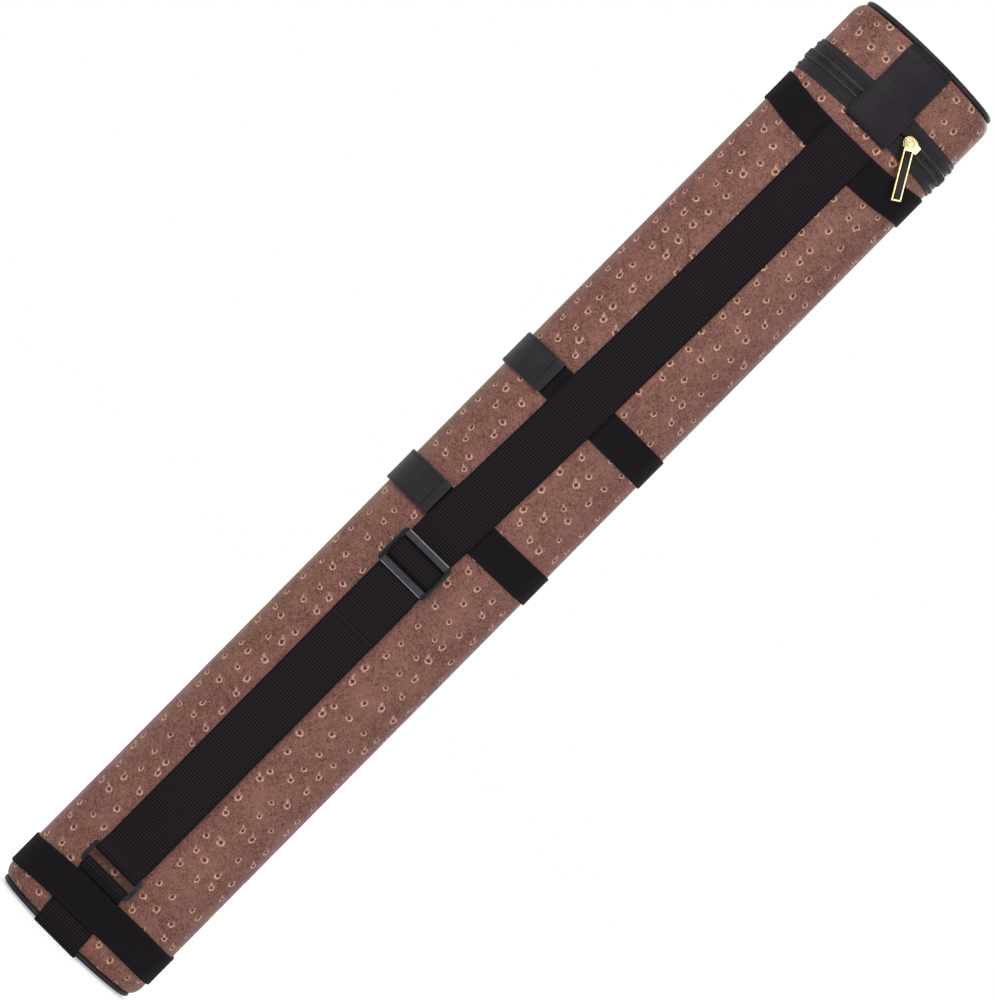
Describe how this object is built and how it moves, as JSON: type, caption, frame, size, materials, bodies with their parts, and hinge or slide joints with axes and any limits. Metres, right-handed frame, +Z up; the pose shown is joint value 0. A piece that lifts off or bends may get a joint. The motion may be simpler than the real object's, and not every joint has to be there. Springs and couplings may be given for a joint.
{
  "type": "cue case",
  "caption": "Oval hard case for pool cues, with a zipped lid on a sewn hinge, carrying strap, handle, front pockets and a rack of cue tubes inside.",
  "frame": {"origin": "on the surface that the case stands on, under the middle of the whole case's box", "axes": "+Z up the case to the lid, +Y out of the back with the strap, -Y out of the front with the pockets"},
  "size_m": [0.1312, 0.136, 0.8569],
  "materials": {
    "ostrich_vinyl": "reddish brown vinyl with a quill pattern, satin",
    "leatherette": "black leatherette, fine grain, satin",
    "webbing": "ribbed black webbing",
    "shell_board": "moulded hard shell",
    "foam": "black foam with a flocked face",
    "tube_plastic": "plain extruded tube",
    "zipper_tape": "woven black zipper tape",
    "zipper_coil": "black moulded coil",
    "buckle_plastic": "dark grey moulded plastic",
    "gold_metal": "polished gold plating",
    "black_enamel": "gloss black inlay, bare"
  },
  "bodies": {
    "case": {"case_shell": "shell_board", "case_cover": "ostrich_vinyl", "base_piping": "leatherette", "base_panel": "leatherette", "bottom_band": "leatherette", "lower_middle_band": "leatherette", "upper_middle_band": "leatherette", "top_band": "leatherette", "lower_band_tab": "leatherette", "upper_band_tab": "leatherette", "case_zipper_tape": "zipper_tape", "case_zipper_teeth": "zipper_coil", "hinge_panel": "leatherette", "keeper_webbing": "webbing", "strap": "webbing", "strap_return_run": "webbing", "strap_ring": "buckle_plastic", "butt_tube_right": "tube_plastic", "butt_tube_left": "tube_plastic", "inner_shaft_tube_right": "tube_plastic", "inner_shaft_tube_left": "tube_plastic", "outer_shaft_tube_right": "tube_plastic", "outer_shaft_tube_left": "tube_plastic", "base_pad": "foam", "lower_cradle": "foam", "upper_cradle": "foam", "mouth_plate": "foam", "mouth_collar": "leatherette", "handle_patch_lower": "leatherette", "handle_patch_upper": "leatherette", "handle_grip": "leatherette", "lower_pocket": "ostrich_vinyl", "lower_pocket_tape": "zipper_tape", "lower_pocket_coil": "zipper_coil", "upper_pocket": "ostrich_vinyl", "upper_pocket_tape": "zipper_tape", "upper_pocket_coil": "zipper_coil"},
    "lower_pocket_slider": {"lower_pocket_slider": "gold_metal"},
    "lower_pocket_pull": {"lower_pocket_pull": "gold_metal"},
    "upper_pocket_slider": {"upper_pocket_slider": "gold_metal"},
    "upper_pocket_pull": {"upper_pocket_pull": "gold_metal"},
    "lid": {"lid_shell": "shell_board", "lid_cover": "ostrich_vinyl", "lid_piping": "leatherette", "lid_end_panel": "ostrich_vinyl", "lid_zipper_tape": "zipper_tape", "lid_zipper_teeth": "zipper_coil", "lid_pad": "foam"},
    "slider": {"zipper_slider": "gold_metal"},
    "pull": {"zipper_pull": "gold_metal", "zipper_pull_inset": "black_enamel"},
    "adjuster": {"adjuster_frame": "buckle_plastic", "adjuster_webbing": "webbing"}
  },
  "joints": [
    {"name": "lid_hinge", "type": "hinge", "parent": "case", "child": "lid", "pos_m": [-0.00016, 0.06349, 0.8013], "axis": [-1, 0, 0], "range_deg": [0, 170], "deforming": ["hinge_panel"]},
    {"name": "slider_travel", "type": "hinge", "parent": "case", "child": "slider", "pos_m": [-0.00016, -0.02269, 0.8013], "axis": [0, 0, 1], "range_deg": [0, 17]},
    {"name": "pull_swivel", "type": "hinge", "parent": "slider", "child": "pull", "pos_m": [-0.02788, 0.05365, 0.8013], "axis": [-0.3695, 0.9292, 0], "range_deg": [-50, 50]},
    {"name": "adjuster_slide", "type": "slide", "parent": "case", "child": "adjuster", "axis": [0, 0, 1], "range_m": [-0.19, 0.009], "deforming": ["strap_return_run"]},
    {"name": "lower_pocket_zip", "type": "slide", "parent": "case", "child": "lower_pocket_slider", "axis": [0, 0, 1], "range_m": [-0.2655, 0]},
    {"name": "lower_pocket_pull_swivel", "type": "hinge", "parent": "lower_pocket_slider", "child": "lower_pocket_pull", "pos_m": [-0.02216, -0.02751, 0.348], "axis": [0, -1, 0], "range_deg": [-80, 80]},
    {"name": "upper_pocket_zip", "type": "slide", "parent": "case", "child": "upper_pocket_slider", "axis": [0, 0, 1], "range_m": [-0.1475, 0]},
    {"name": "upper_pocket_pull_swivel", "type": "hinge", "parent": "upper_pocket_slider", "child": "upper_pocket_pull", "pos_m": [-0.02216, -0.02751, 0.712], "axis": [0, -1, 0], "range_deg": [-80, 80]}
  ]
}
